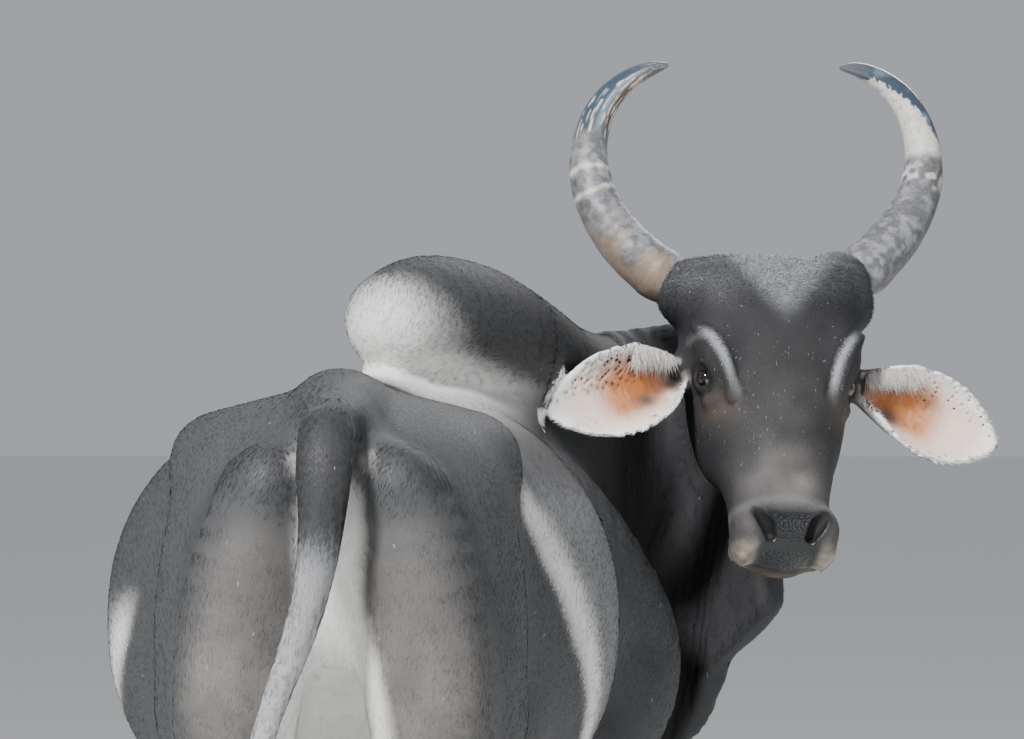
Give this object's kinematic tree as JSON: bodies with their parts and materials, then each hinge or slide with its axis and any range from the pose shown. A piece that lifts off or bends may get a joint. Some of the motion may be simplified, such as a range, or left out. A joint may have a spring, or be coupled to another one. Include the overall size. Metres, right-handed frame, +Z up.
{
  "type": "zebu bull",
  "caption": "Life-size standing grey zebu bull with a tall hump, dewlap and lyre horns, looking back over its right side, as a still museum model.",
  "frame": {"origin": "centre of the bounding box in plan, on the floor under the soles", "axes": "+Z up; +Y the way the body faces, away from the picture's camera; +X towards the bull's right side, which is the side that the head is turned to"},
  "size_m": [1.511, 2.0042, 2.0015],
  "materials": {
    "coat_silver": "short silver-grey coat",
    "coat_dark": "short dark grey coat",
    "ear_skin": "bare skin, pale hairs",
    "eye_brown": "wet gloss",
    "horn_grey": "worn horn, satin",
    "hoof_black": "dull horn",
    "hair_black": "long coarse hair"
  },
  "bodies": {
    "root": {"torso": "coat_silver", "sheath": "coat_silver", "scrotum": "coat_silver", "hump": "coat_dark", "neck": "coat_dark", "head": "coat_dark", "tail_base": "coat_dark", "tail_lower": "coat_dark", "ear_left": "ear_skin", "eye_left": "eye_brown", "horn_left": "horn_grey", "foreleg_left_upper": "coat_dark", "foreleg_left_lower": "coat_dark", "claw_fore_left_inner": "hoof_black", "claw_fore_left_outer": "hoof_black", "hindleg_left_upper": "coat_dark", "hindleg_left_lower": "coat_dark", "claw_hind_left_inner": "hoof_black", "claw_hind_left_outer": "hoof_black", "ear_right": "ear_skin", "eye_right": "eye_brown", "horn_right": "horn_grey", "foreleg_right_upper": "coat_dark", "foreleg_right_lower": "coat_dark", "claw_fore_right_inner": "hoof_black", "claw_fore_right_outer": "hoof_black", "hindleg_right_upper": "coat_dark", "hindleg_right_lower": "coat_dark", "claw_hind_right_inner": "hoof_black", "claw_hind_right_outer": "hoof_black", "tail_switch": "hair_black"}
  },
  "joints": []
}
